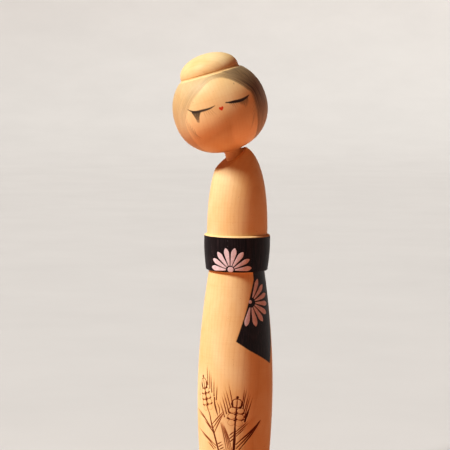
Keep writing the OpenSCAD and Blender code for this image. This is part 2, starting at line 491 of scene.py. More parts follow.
def burn_wheat(points):
    """Burnt strength and scorched halo of the two wheat ears and their leaves."""
    lines, glow = Canvas(points), Canvas(points)
    jitter = np.random.default_rng(5)
    stem = [(0.2, 42.0), (-0.1, 33.0), (-0.5, 25.0), (-1.4, 13.5)]
    left_stem = [(-20.2, 51.0), (-17.6, 46.0), (-16.2, 40.4), (-14.2, 34.0), (-12.0, 26.8), (-8.2, 13.5)]

    for line, width, ink, ends, fade in (
            (stem, 1.55, 1.0, (0.45, 1.0), (0.95, 1.0)),
            ([(1.1, 53.0), (0.7, 47.0), (0.2, 41.0)], 0.85, 0.9, (0.6, 0.9), (0.8, 1.0)),
            ([(6.1, 42.4), (7.5, 46.2), (8.9, 50.4)], 1.35, 1.0, (0.5, 0.2), (1.0, 0.8)),
            (left_stem, 1.05, 0.95, (0.5, 1.0), (0.7, 1.0)),
            ([(-13.9, 57.0), (-13.4, 52.3), (-11.2, 45.6)], 1.0, 0.95, (0.8, 0.3), (1.0, 0.8)),
            ([(-12.3, 55.0), (-10.2, 50.4), (-10.2, 46.4)], 0.65, 0.75, (0.5, 0.15), (0.6, 0.8)),
            ([(13.8, 38.2), (17.8, 42.4)], 1.2, 0.9, (0.2, 0.3), (0.8, 1.0))):
        lines.stroke(line, width, ink, ends, fade)

    ear(lines, (0.3, 43.6), (1.1, 51.6), (1.5, 57.9), 2, 10.4)
    ear(lines, (-19.6, 51.8), (-22.5, 62.2), (-24.6, 69.3), 3, 8.6, 0.9)
    awns(lines, (-1.5, 53.4), (-5.0, 68.5), (-1.3, -2.0), (-1.35, -2.9), 5, jitter)
    awns(lines, (4.6, 53.6), (6.0, 66.0), (0.5, -2.8), (1.5, -1.4), 5, jitter)
    awns(lines, (-19.4, 64.6), (-20.9, 79.2), (1.75, -2.2), (2.2, -3.0), 5, jitter)
    awns(lines, (-27.6, 60.0), (-30.0, 70.0), (-0.3, -3.2), (-0.9, -3.0), 3, jitter, 0.45)

    # Leaves of the left stem, then narrow blades between the stems, then leaves of the right stem
    for bases, tips, sag in (
            ([(-15.8, 39.6), (-15.0, 37.4), (-14.2, 34.1)], [(-7.0, 49.3), (-6.7, 48.8), (-7.1, 48.2)], 0.0),
            ([(-16.2, 37.6), (-15.2, 35.4)], [(-34.2, 48.1), (-30.9, 46.2)], -2.0),
            ([(-14.6, 34.4)], [(-23.3, 42.0)], -0.5),
            ([(-12.8, 26.4), (-13.3, 24.8)], [(-31.9, 35.9), (-26.3, 33.1)], -1.0),
            ([(-14.5, 23.8)], [(-19.6, 28.1)], -0.3)):
        leaf(lines, bases, tips, sag)
    leaf(lines, [(-5.7, 24.8), (-4.2, 24.6), (-3.0, 24.4), (-1.9, 24.3)],
         [(-9.8, 42.5), (-9.0, 41.9), (-8.0, 41.0), (-7.1, 40.1)], -0.45, 0.6, 0.75, (0.9, 0.8))
    leaf(lines, [(-2.9, 14.5), (-2.1, 13.5)], [(-5.7, 25.0), (-3.0, 24.6)], 0.0, 0.6, 0.75, (0.9, 0.9))
    leaf(lines, [(0.7, 36.1), (0.9, 34.7), (1.1, 33.3)], [(10.6, 44.4), (11.6, 43.9), (8.2, 39.9)], 0.0,
         ink=0.95, fade=(1.0, 0.05))
    leaf(lines, [(0.9, 27.9), (1.3, 25.4), (3.1, 24.5)], [(16.5, 41.3), (17.8, 42.4), (17.0, 40.9)], 0.0,
         0.8, 0.95, (1.0, 0.85))

    hatch(lines, (-3.5, 33.5), (3.0, 2.7), (0.1, -2.1), 3)
    hatch(lines, (-12.0, 27.2), (3.5, 2.1), (0.8, -1.6), 4, 0.75)
    hatch(lines, (-2.9, 22.0), (2.2, 1.6), (-0.1, -1.8), 3, 0.7)

    for line, width, ink, ends, fade, edge in (
            ([(-3.7, 24.5), (-6.2, 34.0), (-8.4, 41.0)], 3.2, 0.5, (0.9, 0.7), EVEN, 2.0),
            ([(1.5, 35.0), (7.0, 39.5), (14.0, 45.0)], 3.4, 0.55, (0.8, 0.5), (1.0, 0.6), 2.4),
            ([(1.5, 25.0), (10.0, 34.0), (18.5, 42.3)], 3.4, 0.4, (0.8, 0.4), (1.0, 0.7), 2.4),
            ([(-14.0, 36.5), (-10.0, 43.0), (-6.6, 49.2)], 2.0, 0.45, (0.5, 0.15), EVEN, 1.6),
            ([(0.6, 57.0), (0.6, 40.0)], 8.0, 0.22, EVEN, EVEN, 3.0)):
        glow.stroke(line, width, ink, ends, fade, edge)
    return lines.ink, np.maximum(glow.ink, 0.6 * lines.ink)


TAIL_R = 20.0  # radius at which the sash's tail is rolled out flat
TAIL = [(35.6, 137.5), (36.0, 131.0), (30.6, 125.5), (26.0, 120.6), (20.2, 114.2), (11.0, 104.4), (0.7, 93.0),
        (22.2, 87.4), (67.5, 77.6), (79.0, 92.0), (85.0, 112.0), (88.0, 137.5)]
TAIL_FLOWER = (26.6, 117.3)
TAIL_FLOWER_R = 15.3


def near_edge(distance):
    """A distance to an edge, kept within the reach of a painted field."""
    return np.clip(distance, -FIELD_REACH, FIELD_REACH)


def rolled(skin, radius):
    """The skin's points rolled out flat at a radius: distance round from the front, and height."""
    return np.stack([np.radians(skin.azimuth) * radius, skin.height], 1)


def build_lower_body(material):
    coarse = columns((180, 3.0))
    wheat = columns((-80, 2.4), (48, 0.72), (180, 2.6))
    tail = columns((-3, 2.6), (92, 0.9), (180, 2.6))
    skin = Skin(BODY, wheat)
    skin.pole(0.0)
    skin.turned([(r, 0.0) for r in steps(4.0, BASE_R - BASE_ROUND, 4.0)], coarse)
    skin.turned(rounding(BASE_R - BASE_ROUND, BASE_ROUND, BASE_ROUND, -75, 0, 5), coarse)
    skin.turned([(swell_radius(z), z) for z in steps(2.0, WHEAT_LOW - 0.3, 1.2)], coarse)
    skin.turned([(swell_radius(z), z) for z in steps(WHEAT_LOW, WHEAT_HIGH, 0.31)], wheat)
    skin.turned([(swell_radius(z), z) for z in steps(WHEAT_HIGH + 0.34, WAIST_Z, 0.34)], tail)
    bore = DOWEL_R + GLUE_GAP
    skin.turned([(bore, WAIST_Z), (bore, DOWEL_LOW - END_GAP)], coarse)
    skin.pole(DOWEL_LOW - END_GAP)
    skin.finish()

    outer = skin.radius > bore + 1.0
    burn, glow = burn_wheat(rolled(skin, BELLY_R))
    flat = rolled(skin, TAIL_R)
    outline = [(radians(a) * TAIL_R, z) for a, z in TAIL]
    paint = near_edge(inside_distance(flat, outline))
    centre = (radians(TAIL_FLOWER[0]) * TAIL_R, TAIL_FLOWER[1])
    petals = half_flower(flat, centre, TAIL_FLOWER_R, 65, -24, 8, 3.3, np.random.default_rng(8))
    dot = 1.15 - np.linalg.norm(flat - np.array(centre) + np.array((0.35, -0.3)), axis=1)
    petals = near_edge(np.maximum(petals, dot))
    border = np.clip(1 - np.abs(paint) / BORDER_HALF, 0, 1) * outer

    depth = GROOVE_DEPTH * burn + BORDER_DEPTH * border - PETAL_LIFT * np.clip(petals / PETAL_EDGE, 0, 1)
    shrink = 1 - np.where(outer, depth / np.maximum(skin.radius, 1), 0)
    skin.local[:, :2] *= shrink[:, None]
    add_piece("lower_body", skin, "body", material, {
        "burn": burn * outer, "glow": glow * outer, "paint": paint, "petal": petals, "border": border})


# ---- sash band

BARE_EDGE = 0.95  # how far the bare wood comes down from the sash's top
SASH_FLOWER = (-12.3, 1.4)   # azimuth, and height above the sash's lower edge
SASH_FLOWER_R = 14.3
SASH_ROLL_R = 20.3  # radius at which the sash is rolled out flat


def build_sash(material):
    coarse = columns((180, 3.0))
    fine = columns((-64, 2.4), (38, 0.8), (180, 2.4))
    bore = DOWEL_R + GLUE_GAP
    seat_r = TORSO_R + GLUE_GAP
    seat_h = SEAT_Z - WAIST_Z
    low_r = sash_radius(SASH_LOW_ROUND) - SASH_LOW_ROUND
    skin = Skin(BODY.raised(WAIST_Z), fine, closed=True)
    skin.turned([(bore, 0.0), (bore + 4.0, 0.0), (low_r - 1.0, 0.0)], coarse)
    skin.turned(rounding(low_r, SASH_LOW_ROUND, SASH_LOW_ROUND, -90, 0, 7), fine)
    wall = steps(SASH_LOW_ROUND + 0.28, SASH_H - SASH_TOP_ROUND, 0.28)
    skin.turned([(sash_radius(h), h) for h in wall], fine)
    skin.turned(rounding(SASH_R - SASH_TOP_ROUND, SASH_H - SASH_TOP_ROUND, SASH_TOP_ROUND, 9, 90, 10), fine)
    skin.turned([(seat_r + 0.06, SASH_H), (seat_r, SASH_H - 0.06), (seat_r, seat_h)], coarse)
    skin.turned([(bore, seat_h)], coarse)
    skin.finish()

    flat = rolled(skin, SASH_ROLL_R)
    outer = skin.radius > TORSO_R - 0.6
    under = (skin.radius < low_r + 0.2) & (skin.height < 1)
    paint = np.where(outer & ~under, SASH_H - BARE_EDGE - skin.height, -FIELD_REACH)
    centre = (radians(SASH_FLOWER[0]) * SASH_ROLL_R, SASH_FLOWER[1])
    petals = half_flower(flat, centre, SASH_FLOWER_R, 176, -24.4, 8, 3.25, np.random.default_rng(3))
    middle = 1.0 - np.hypot((flat[:, 0] - centre[0] - 0.2) / 2.0, (flat[:, 1] - centre[1] - 0.5) / 1.8)
    petals = np.where(outer, near_edge(np.maximum(petals, 1.7 * middle)), -FIELD_REACH)
    lift = PETAL_LIFT * np.clip(petals / PETAL_EDGE, 0, 1)
    raised = 1 + np.where(outer, lift / np.maximum(skin.radius, 1), 0)
    skin.local[:, :2] *= raised[:, None]
    add_piece("sash_band", skin, "body", material, {"paint": near_edge(paint), "petal": petals})


# ---- torso

RIM_ROUND = 0.3
END_GRAIN_DEPTH = 0.35
DOME_Z = SEAT_Z + TORSO_FOOT_H
DOME_H = SASH_TOP + TORSO_CLOSE_H - DOME_Z


def torso_point(azimuth, z):
    """Points on the uncut torso."""
    r = dome_radius(np.clip(z - DOME_Z, 0, None), TORSO_R, DOME_H, TORSO_POWER)
    a = np.radians(azimuth)
    return np.stack([r * np.sin(a), -r * np.cos(a), z], -1)


def cut_height(azimuths, normal):
    """Height at which the slanted cut crosses the torso's side, for each azimuth."""
    low, high = np.full(len(azimuths), DOME_Z), np.full(len(azimuths), DOME_Z + DOME_H)
    for _ in range(50):
        middle = (low + high) / 2
        above = (torso_point(azimuths, middle) - np.array((0, 0, CUT_Z))) @ normal > 0
        high = np.where(above, middle, high)
        low = np.where(above, low, middle)
    return (low + high) / 2


def bend(a, corner, b, count=5):
    """Rings that round a corner, from a past the corner to b."""
    return [(1 - t) ** 2 * a + 2 * t * (1 - t) * corner + t ** 2 * b for t in np.linspace(0, 1, count)]


def build_torso(material):
    azimuths = columns((180, 1.4))
    tilt, facing = radians(CUT_TILT), radians(CUT_AZIMUTH)
    normal = np.array((sin(tilt) * cos(facing), sin(tilt) * sin(facing), cos(tilt)))
    skin = Skin(BODY, azimuths)
    bore = DOWEL_R + GLUE_GAP
    skin.pole(DOWEL_HIGH + END_GAP)
    skin.turned([(bore, DOWEL_HIGH + END_GAP), (bore, SEAT_Z), (TORSO_R, SEAT_Z)], azimuths)
    skin.turned([(TORSO_R, z) for z in steps(SEAT_Z + 0.3, DOME_Z, 0.6)], azimuths)

    rim_z = cut_height(azimuths, normal)
    rim = torso_point(azimuths, rim_z)
    for share in np.linspace(0, 1, 90)[1:-1] ** 0.9:
        skin.ring(azimuths, torso_point(azimuths, DOME_Z + (rim_z - RIM_ROUND - DOME_Z) * share))
    below = torso_point(azimuths, rim_z - RIM_ROUND)

    mouth_r = NECK_R + TURNING_GAP
    round_neck = NECK.find(rim)
    turn = np.arctan2(round_neck[:, 0], -round_neck[:, 1])
    spokes = np.stack([np.sin(turn), -np.cos(turn)], 1)
    lean = NECK.basis @ normal
    level = (np.array((0, 0, CUT_Z)) - NECK.origin) @ normal

    def on_cut(radius):
        """Ring of the slanted face at a distance from the neck's axis."""
        flat = spokes * radius
        height = (level - flat @ lean[:2]) / lean[2]
        return NECK.place(np.column_stack([flat, height]))

    def in_bore(radius, height):
        """Ring of the neck's bore."""
        return NECK.place(np.column_stack([spokes * radius, np.full(len(turn), height)]))

    mouth = on_cut(mouth_r)
    inward = unit(mouth - rim)
    for ring in bend(below, rim, rim + inward * RIM_ROUND):
        skin.ring(azimuths, ring)
    for share in np.linspace(0, 1, 26)[1:-1]:
        skin.ring(azimuths, rim + inward * RIM_ROUND + (mouth - rim - inward * RIM_ROUND) * share)
    rise = (HEAD.origin - NECK.origin) @ NECK.basis[2]
    foot = NECK_FOOT + rise
    peg_foot = PEG_LOW + rise - END_GAP
    skin.ring(azimuths, mouth)
    for share in np.linspace(0, 1, 8)[1:]:
        skin.ring(azimuths, mouth + (in_bore(mouth_r, foot) - mouth) * share)
    for radius, height in ((PEG_R + TURNING_GAP, foot), (PEG_R + TURNING_GAP, peg_foot)):
        skin.ring(azimuths, in_bore(radius, height))
    skin.ring([0.0], in_bore(0.0, peg_foot)[:1])
    skin.finish()
    from_cut = np.abs((skin.local - np.array((0, 0, CUT_Z))) @ normal)
    add_piece("torso", skin, "body", material, {
        "end_grain": np.clip(1 - from_cut / END_GRAIN_DEPTH, 0, 1)})


# ---- head

FACE_LOW = -17.0      # the face's fine rings start here
MOUTH = (1.0, 1.5)    # round from the front, and height
MOUTH_SCALE = 1.05
NECKLINE_H = -25.5    # the hair stops here, above the neck
FACE_R = 29.0         # radius at which the face is rolled out flat

# The face's edge, as azimuth and height, from the doll's right jaw over the parting to its left jaw
HAIRLINE = [(-74, -27), (-58, -21), (-51.5, -12.7), (-49.8, -4.4), (-47.5, 0.7), (-40.8, 5.1), (-33.7, 9.3),
            (-26.8, 12.4), (-18.0, 15.4), (-9.5, 18.0), (1.5, 19.5), (15.0, 19.3), (24.0, 17.2), (32.0, 14.0),
            (42.0, 8.2), (46.4, 4.8), (47.4, -2.4), (48.2, -12.4), (54, -20), (72, -27)]

# How strong the hair's wash is at each azimuth, and how it thins out below the eyes. It is strongest on the
# doll's right, away from the key light: partly a heavier brush load there, partly painted shade for that side
WASH_AND_SHADE_ROUND = [(-180, 0.80), (-130, 0.72), (-90, 0.48), (-45, 0.38), (0, 0.42), (28, 0.80), (50, 1.0),
              (110, 1.0), (180, 0.80)]
WASH_HEIGHT = [(-14, 0.60), (5, 1.0)]


def face_lines(points):
    """Black ink and brown ink of the closed eyes, lashes and loose strands."""
    ink, brown = Canvas(points, 0.24), Canvas(points, 0.3)
    draw = np.random.default_rng(21).uniform
    left = [(-21.2, 6.3), (-19.6, 5.3), (-17.3, 4.2), (-14.2, 3.5), (-10.6, 3.4), (-7.2, 3.4), (-4.6, 3.7),
            (-2.3, 4.3)]
    right = [(4.8, 4.1), (7.4, 3.5), (10.4, 3.1), (13.4, 2.7), (16.0, 2.8), (18.6, 3.3), (21.7, 4.2)]
    ink.stroke(left, 1.45, 1.0, (0.3, 0.2), (1.0, 0.9))
    ink.stroke(right, 1.85, 1.0, (0.4, 0.25), (1.0, 0.95))

    # The left lashes, brushed together to a point
    for share in np.linspace(0, 1, 44):
        x, y = -18.5 + 6.6 * share, 3.8 - 0.4 * share
        drop = 2.2 + 5.0 * sin(pi * (0.18 + 0.6 * share)) ** 2 * draw(0.45, 1.0)
        foot = (x + (-16.0 - x) * 0.8 + draw(-0.6, 0.6), y - drop)
        ink.stroke([(x, y), foot], 0.5, draw(0.82, 1.0), (0.9, 0.4), (1.0, 0.7))
    # The right lashes, a loose fan and then short marks across the lid
    for share in np.linspace(0, 1, 24):
        x, y = 13.8 + 6.4 * share, 2.9 + 0.4 * share
        drop = 1.8 + 4.4 * sin(pi * (0.15 + 0.65 * share)) ** 2 * draw(0.5, 1.0)
        foot = (x + (16.8 - x) * 0.35 + draw(-0.9, 0.9), y - drop)
        ink.stroke([(x, y), foot], 0.6, draw(0.35, 0.8), (0.9, 0.3), (1.0, 0.35))
    for i in range(13):
        x, y = 7.2 + 0.95 * i + draw(-0.3, 0.3), 3.9 + 0.004 * (i - 7) ** 2
        foot = (x + draw(-0.3, 0.7), y - draw(1.4, 2.3))
        ink.stroke([(x, y), foot], 0.42, draw(0.7, 1.0), (0.2, 0.2), (0.9, 0.9))
    # Fine brown lashes
    for i in range(6):
        x = 8.0 + 1.25 * i
        brown.stroke([(x, 2.9), (x + 0.9, 2.9 - draw(2.4, 4.6))], 0.6, 0.6, fade=(1.0, 0.2))
    for i in range(5):
        x, reach, drop = -10.2 + 1.2 * i, 0.6 + 0.6 * i, draw(3.6, 5.6)
        line = [(x, 2.9), (x + reach / 2 - 0.2, 2.9 - drop / 2), (x + reach, 2.9 - drop)]
        brown.stroke(line, 0.45, 0.5, fade=(0.9, 0.2))
    # Loose strands beside each cheek, and a mark on the forehead
    for side, first in ((-1, -24.6), (1, 24.2)):
        for i in range(5):
            x, drop = first - side * 0.95 * i, draw(12.0, 17.0)
            end = (x + side * (0.2 - 0.5 * i), -1.5 - drop)
            strand = [(x, 3.0 - 2.4 * i), (x + side * 0.6, -4.0 - 1.5 * i), end]
            ink.stroke(strand, 0.5, draw(0.45, 0.7), (0.3, 0.15), (0.9, 0.3))
    ink.dot((14.6, 13.6), 0.38, 0.5)
    ink.stroke([(14.7, 14.6), (14.5, 13.2)], 0.4, 0.35)
    return ink.ink, brown.ink


def mouth_distance(points):
    """Distance inside the small heart of the mouth, positive inside it."""
    half = [(0.0, 0.55), (0.55, 1.05), (1.15, 0.95), (1.40, 0.35), (1.05, -0.40), (0.0, -1.40)]
    other = [(-x, y) for x, y in half[-2:0:-1]]
    outline = np.array(half + other) * MOUTH_SCALE + np.array(MOUTH)
    return inside_distance(points, outline)


def build_head(material):
    coarse = columns((180, 2.5))
    face = columns((-60, 2.0), (60, 0.56), (180, 2.0))
    joint_r = NECK_R + NECK_ROUND
    under = -float(dome_radius(joint_r, HEAD_DOWN, HEAD_R, HEAD_POWER))
    peg, bun_peg = PEG_R + GLUE_GAP, BUN_PEG_R + GLUE_GAP
    skin = Skin(HEAD, face)
    skin.pole(PEG_HIGH + END_GAP)
    skin.turned([(peg, PEG_HIGH + END_GAP), (peg, NECK_FOOT), (NECK_R - 0.3, NECK_FOOT)], coarse)
    skin.turned([(NECK_R, NECK_FOOT + 0.3)], coarse)
    skin.turned([(NECK_R, h) for h in steps(NECK_FOOT + 1, under - NECK_ROUND - 0.1, 0.8)], coarse)
    skin.turned(rounding(joint_r, under - NECK_ROUND, NECK_ROUND, 180, 90, 8), coarse)
    lowest = degrees(acos((joint_r / HEAD_R) ** (HEAD_POWER / 2)))
    for angle in np.linspace(lowest, 0, 60)[1:]:
        r, h = dome(angle, HEAD_R, HEAD_DOWN, HEAD_POWER)
        if -h < FACE_LOW:
            skin.turned([(r, -h)], coarse)
    shoulder = CROWN - CROWN_COVE
    skin.turned([(float(head_radius(h)), h) for h in steps(FACE_LOW, shoulder - 0.05, 0.29)], face)
    skin.turned(rounding(CROWN_R + CROWN_COVE, CROWN, CROWN_COVE, -102, -180, 8), face)
    skin.turned([(r, CROWN) for r in steps(CROWN_R - 1.5, bun_peg, 3.0)], coarse)
    skin.turned([(bun_peg, BUN_PEG_LOW - END_GAP)], coarse)
    skin.pole(BUN_PEG_LOW - END_GAP)
    skin.finish()

    outer = skin.radius > head_radius(np.clip(skin.height, -HEAD_DOWN, CROWN)) - 1.5
    outer &= skin.height > under - 0.5
    flat = rolled(skin, HEAD_R)
    shape = rolled(skin, FACE_R)
    edge = curve([(radians(a) * FACE_R, h) for a, h in HAIRLINE])
    closed = np.vstack([edge, [(edge[-1][0], -60), (edge[0][0], -60)]])
    hair = -inside_distance(shape, closed)
    _, along = line_distance(shape, edge)
    # The wash's strength round the head is partly painted shade on the side away from the key light, as well
    # as a heavier brush load there
    wash_and_shade = np.interp(skin.azimuth, *zip(*WASH_AND_SHADE_ROUND)) * np.interp(skin.height, *zip(*WASH_HEIGHT))
    ink, brown = face_lines(flat)
    add_piece("head", skin, "head", material, {
        "hair": np.where(outer, np.clip(hair, -8, 60), -8), "along": along, "wash_and_shade": wash_and_shade,
        "top_band": CROWN - skin.height, "neck_band": skin.height - NECKLINE_H,
        "ink": ink * outer, "brown": brown * outer,
        "lips": np.where(outer, near_edge(mouth_distance(flat)), -FIELD_REACH)})


def build_bun(material):
    azimuths = columns((180, 2.0))
    bore = BUN_PEG_R + GLUE_GAP
    skin = Skin(HEAD, azimuths)
    skin.pole(BUN_PEG_HIGH + END_GAP)
    skin.turned([(bore, BUN_PEG_HIGH + END_GAP), (bore, CROWN)], azimuths)
    tuck_r = BUN_R - BUN_TUCK
    skin.turned([(r, CROWN) for r in steps(bore + 3.0, tuck_r - 0.4, 4.0)], azimuths)
    tuck = degrees(acos((tuck_r / BUN_R) ** (BUN_POWER / 2)))
    depth = dome(tuck, BUN_R, 1.0, BUN_POWER)[1]
    for angle in np.linspace(tuck, 0, 9)[:-1]:
        r, h = dome(angle, BUN_R, BUN_ROLL / depth, BUN_POWER)
        skin.turned([(r, CROWN + BUN_ROLL - h)], azimuths)
    for angle in np.linspace(0, 90, 56)[:-1]:
        r, h = dome(angle, BUN_R, BUN_TOP - CROWN - BUN_ROLL, BUN_POWER)
        skin.turned([(r, CROWN + BUN_ROLL + h)], azimuths)
    skin.pole(BUN_TOP)
    skin.finish()
    add_piece("hair_bun", skin, "head", material, {})


# ---- materials


class Graph:
    """A small helper that adds shader nodes and links what is given to them."""

    def __init__(self, name, kind="materials"):
        self.owner = getattr(bpy.data, kind).new(name)
        self.owner.use_nodes = True
        self.tree = self.owner.node_tree
        self.tree.nodes.clear()

    def add(self, kind, inputs=None, **settings):
        node = self.tree.nodes.new("ShaderNode" + kind)
        for key, value in settings.items():
            setattr(node, key, value)
        for key, value in (inputs or {}).items():
            self.put(node.inputs[key], value)
        return node

    def put(self, socket, value):
        if isinstance(value, bpy.types.NodeSocket):
            self.tree.links.new(value, socket)
        elif isinstance(value, (tuple, list)) and socket.type == "RGBA":
            socket.default_value = (*value, 1.0)
        else:
            socket.default_value = value

    def field(self, name, output="Fac"):
        return self.add("Attribute", attribute_name=name).outputs[output]

    def math(self, operation, a, b):
        return self.add("Math", {0: a, 1: b}, operation=operation).outputs[0]

    def times(self, a, b):
        return self.math("MULTIPLY", a, b)

    def scaled(self, vector, factors, offset=(0, 0, 0)):
        node = self.add("VectorMath", {0: vector, 1: factors, 2: offset}, operation="MULTIPLY_ADD")
        return node.outputs[0]

    def noise(self, place, factors, detail, roughness=0.5, offset=(0, 0, 0)):
        """Noise whose fineness along each axis is given by factors."""
        return self.add("TexNoise", {"Vector": self.scaled(place, factors, offset), "Scale": 1.0,
                                     "Detail": detail, "Roughness": roughness}).outputs["Fac"]

    def remap(self, value, low, high, out_low=0.0, out_high=1.0, smooth=False):
        kind = "SMOOTHSTEP" if smooth else "LINEAR"
        node = self.add("MapRange", {"Value": value, "From Min": low, "From Max": high,
                                     "To Min": out_low, "To Max": out_high}, interpolation_type=kind)
        return node.outputs[0]

    def between(self, factor, a, b):
        """A number between two others."""
        return self.add("Mix", {0: factor, 2: a, 3: b}).outputs[0]

    def mix(self, factor, a, b):
        """A colour between two others."""
        return self.add("Mix", {0: factor, 6: a, 7: b}, data_type="RGBA").outputs[2]

    def ramp(self, value, stops):
        node = self.add("ValToRGB", {"Fac": value})
        band = node.color_ramp
        while len(band.elements) < len(stops):
            band.elements.new(0.5)
        for element, (place, colour) in zip(band.elements, stops):
            element.position = place
            element.color = (*colour, 1.0)
        return node.outputs["Color"]

    def surface(self, colour, roughness, height, relief_mm=0.02, specular=0.32):
        bump = self.add("Bump", {"Height": height, "Distance": relief_mm * MM, "Strength": 1.0})
        shader = self.add("BsdfPrincipled", {"Base Color": colour, "Roughness": roughness,
                                             "Normal": bump.outputs[0], "Specular IOR Level": specular})
        self.add("OutputMaterial", {"Surface": shader.outputs[0]})
        return self.owner


WOOD_PALE = (0.92, 0.74, 0.43)
WOOD_WARM = (0.86, 0.60, 0.28)
WOOD_LATE = (0.60, 0.30, 0.09)
PORE = (0.34, 0.17, 0.07)
FLECK = (0.30, 0.13, 0.05)
YEAR_MM = 2.3        # from one year ring to the next
BLACK = (0.010, 0.007, 0.009)
BLACK_WORN = (0.075, 0.050, 0.056)
PETAL_PALE = (0.92, 0.86, 0.97)
PETAL_DARK = (0.64, 0.53, 0.58)
PETAL_ROUGH = 0.55
BORDER_INK = (0.006, 0.004, 0.004)
HAIR_WASH = (0.105, 0.078, 0.062)
HAIR_DARK = (0.030, 0.018, 0.015)
LASH_BROWN = (0.30, 0.12, 0.04)
FACE_INK = (0.016, 0.011, 0.014)
LIP_RED = (0.72, 0.072, 0.022)
END_GRAIN = (0.66, 0.38, 0.17)
SCORCHED = (0.62, 0.24, 0.055)
SCORCH = [(0.0, (0.55, 0.20, 0.045)), (0.3, (0.31, 0.078, 0.016)), (0.65, (0.14, 0.028, 0.008)),
          (1.0, (0.065, 0.015, 0.007))]


def wood(graph, offset, pith=(-64.0, 38.0), figure=1.0):
    """Colour, roughness and relief of pale turned wood with its grain along the turning axis."""
    place = graph.add("VectorMath", {0: graph.field("wood", "Vector"), 1: offset}, operation="ADD").outputs[0]
    sway = graph.noise(place, (0.03, 0.03, 0.012), 2.0)
    from_pith = graph.scaled(place, (1.0, 1.0, 0.035), (-pith[0], -pith[1], 0.0))
    across = graph.scaled(from_pith, (1, 1, 0))
    distance = graph.add("VectorMath", {0: across}, operation="LENGTH").outputs["Value"]
    wavy = graph.math("ADD", distance, graph.times(sway, 9.0))
    year = graph.math("FRACT", graph.math("DIVIDE", wavy, YEAR_MM), 0.0)
    late = graph.math("POWER", year, 3.5)
    fibres = graph.noise(place, (2.6, 2.6, 0.055), 4.0, 0.6)
    pores = graph.noise(place, (5.0, 5.0, 0.5), 2.0)
    patches = graph.noise(place, (0.05, 0.05, 0.035), 3.0, 0.55)
    lathe = graph.noise(place, (0.02, 0.02, 1.6), 3.0, 0.65)

    colour = graph.mix(graph.remap(patches, 0.35, 0.7), WOOD_PALE, WOOD_WARM)
    colour = graph.mix(graph.times(late, 0.13 * figure), colour, WOOD_LATE)
    flecks = graph.noise(place, (1.1, 1.1, 0.9), 1.0)
    for value, low, high, most, tint in ((fibres, 0.48, 0.78, 0.12 * figure, WOOD_LATE),
                                         (pores, 0.66, 0.76, 0.24 * figure, PORE),
                                         (lathe, 0.52, 0.72, 0.09, WOOD_LATE),
                                         (flecks, 0.765, 0.80, 0.5, FLECK)):
        colour = graph.mix(graph.remap(value, low, high, 0.0, most), colour, tint)
    roughness = graph.remap(fibres, 0.3, 0.8, 0.52, 0.62)
    relief = graph.math("ADD", graph.times(fibres, 0.5), graph.times(lathe, 0.5))
    return place, colour, roughness, relief


def painted_black(graph, place):
    """Colour and roughness of black paint through which the grain shows as faint streaks."""
    streaks = graph.noise(place, (1.5, 1.5, 0.03), 4.0, 0.65)
    worn = graph.noise(place, (0.35, 0.35, 0.25), 3.0, 0.6)
    amount = graph.times(graph.remap(streaks, 0.45, 0.75), graph.remap(worn, 0.3, 0.75, 0.25, 1.0))
    colour = graph.mix(amount, BLACK, BLACK_WORN)
    return colour, graph.remap(streaks, 0.3, 0.8, 0.44, 0.56)


def petal_colour(graph, place):
    """Pale paint, thin enough to be speckled by the wood's pores."""
    speckle = graph.noise(place, (3.2, 3.2, 2.2), 3.0, 0.7)
    broad = graph.noise(place, (0.5, 0.5, 0.3), 2.0)
    tone = graph.math("ADD", graph.times(speckle, 0.7), graph.times(broad, 0.3))
    return graph.mix(graph.remap(tone, 0.36, 0.62), PETAL_DARK, PETAL_PALE)


def painted_mask(graph, name, place, ragged=0.1, soft=0.06):
    """How fully a painted field covers the wood, with a hand-made edge."""
    rough = graph.noise(place, (2.0, 2.0, 2.0), 2.0)
    edge = graph.math("ADD", graph.field(name), graph.remap(rough, 0.0, 1.0, -ragged, ragged))
    return graph.remap(edge, -soft, soft, smooth=True)


def painted(graph, place, colour, roughness, ragged, border=0.0):
    """Black paint with its ruled border, and the petals on it, over a wood's colour and roughness."""
    black, black_rough = painted_black(graph, place)
    paint = painted_mask(graph, "paint", place, ragged)
    petals = painted_mask(graph, "petal", place, 0.08)
    colour = graph.mix(paint, colour, black)
    colour = graph.mix(border, colour, BORDER_INK)
    colour = graph.mix(petals, colour, petal_colour(graph, place))
    roughness = graph.between(paint, roughness, black_rough)
    return colour, graph.between(petals, roughness, PETAL_ROUGH)


def lower_material():
    graph = Graph("lower_body_wood")
    place, colour, roughness, relief = wood(graph, (0.0, 0.0, 0.0))
    patchy = graph.noise(place, (1.3, 1.3, 1.3), 3.0, 0.6)
    glow = graph.times(graph.field("glow"), graph.remap(patchy, 0.3, 0.7, 0.55, 1.0))
    colour = graph.mix(graph.times(glow, 0.65), colour, SCORCHED)
    burn = graph.times(graph.field("burn"), graph.remap(patchy, 0.25, 0.6, 0.72, 1.0))
    colour = graph.mix(graph.remap(burn, 0.04, 0.5, smooth=True), colour, graph.ramp(burn, SCORCH))
    roughness = graph.math("ADD", roughness, graph.times(burn, 0.25))

    border = graph.times(graph.field("border"), 0.9)
    colour, roughness = painted(graph, place, colour, roughness, 0.1, border)
    return graph.surface(colour, roughness, relief, specular=0.2)


def sash_material():
    graph = Graph("sash_black_paint")
    place, colour, roughness, relief = wood(graph, (31.0, 12.0, 7.0))
    colour, roughness = painted(graph, place, colour, roughness, 0.12)
    return graph.surface(colour, roughness, relief, specular=0.15)


def torso_material():
    graph = Graph("torso_wood")
    place, colour, roughness, relief = wood(graph, (9.0, -21.0, 40.0), (52.0, -60.0))
    saw = graph.noise(place, (0.9, 0.35, 0.9), 3.0, 0.6)
    end = graph.times(graph.field("end_grain"), graph.remap(saw, 0.3, 0.7, 0.35, 0.7))
    colour = graph.mix(end, colour, END_GRAIN)
    return graph.surface(colour, roughness, relief)


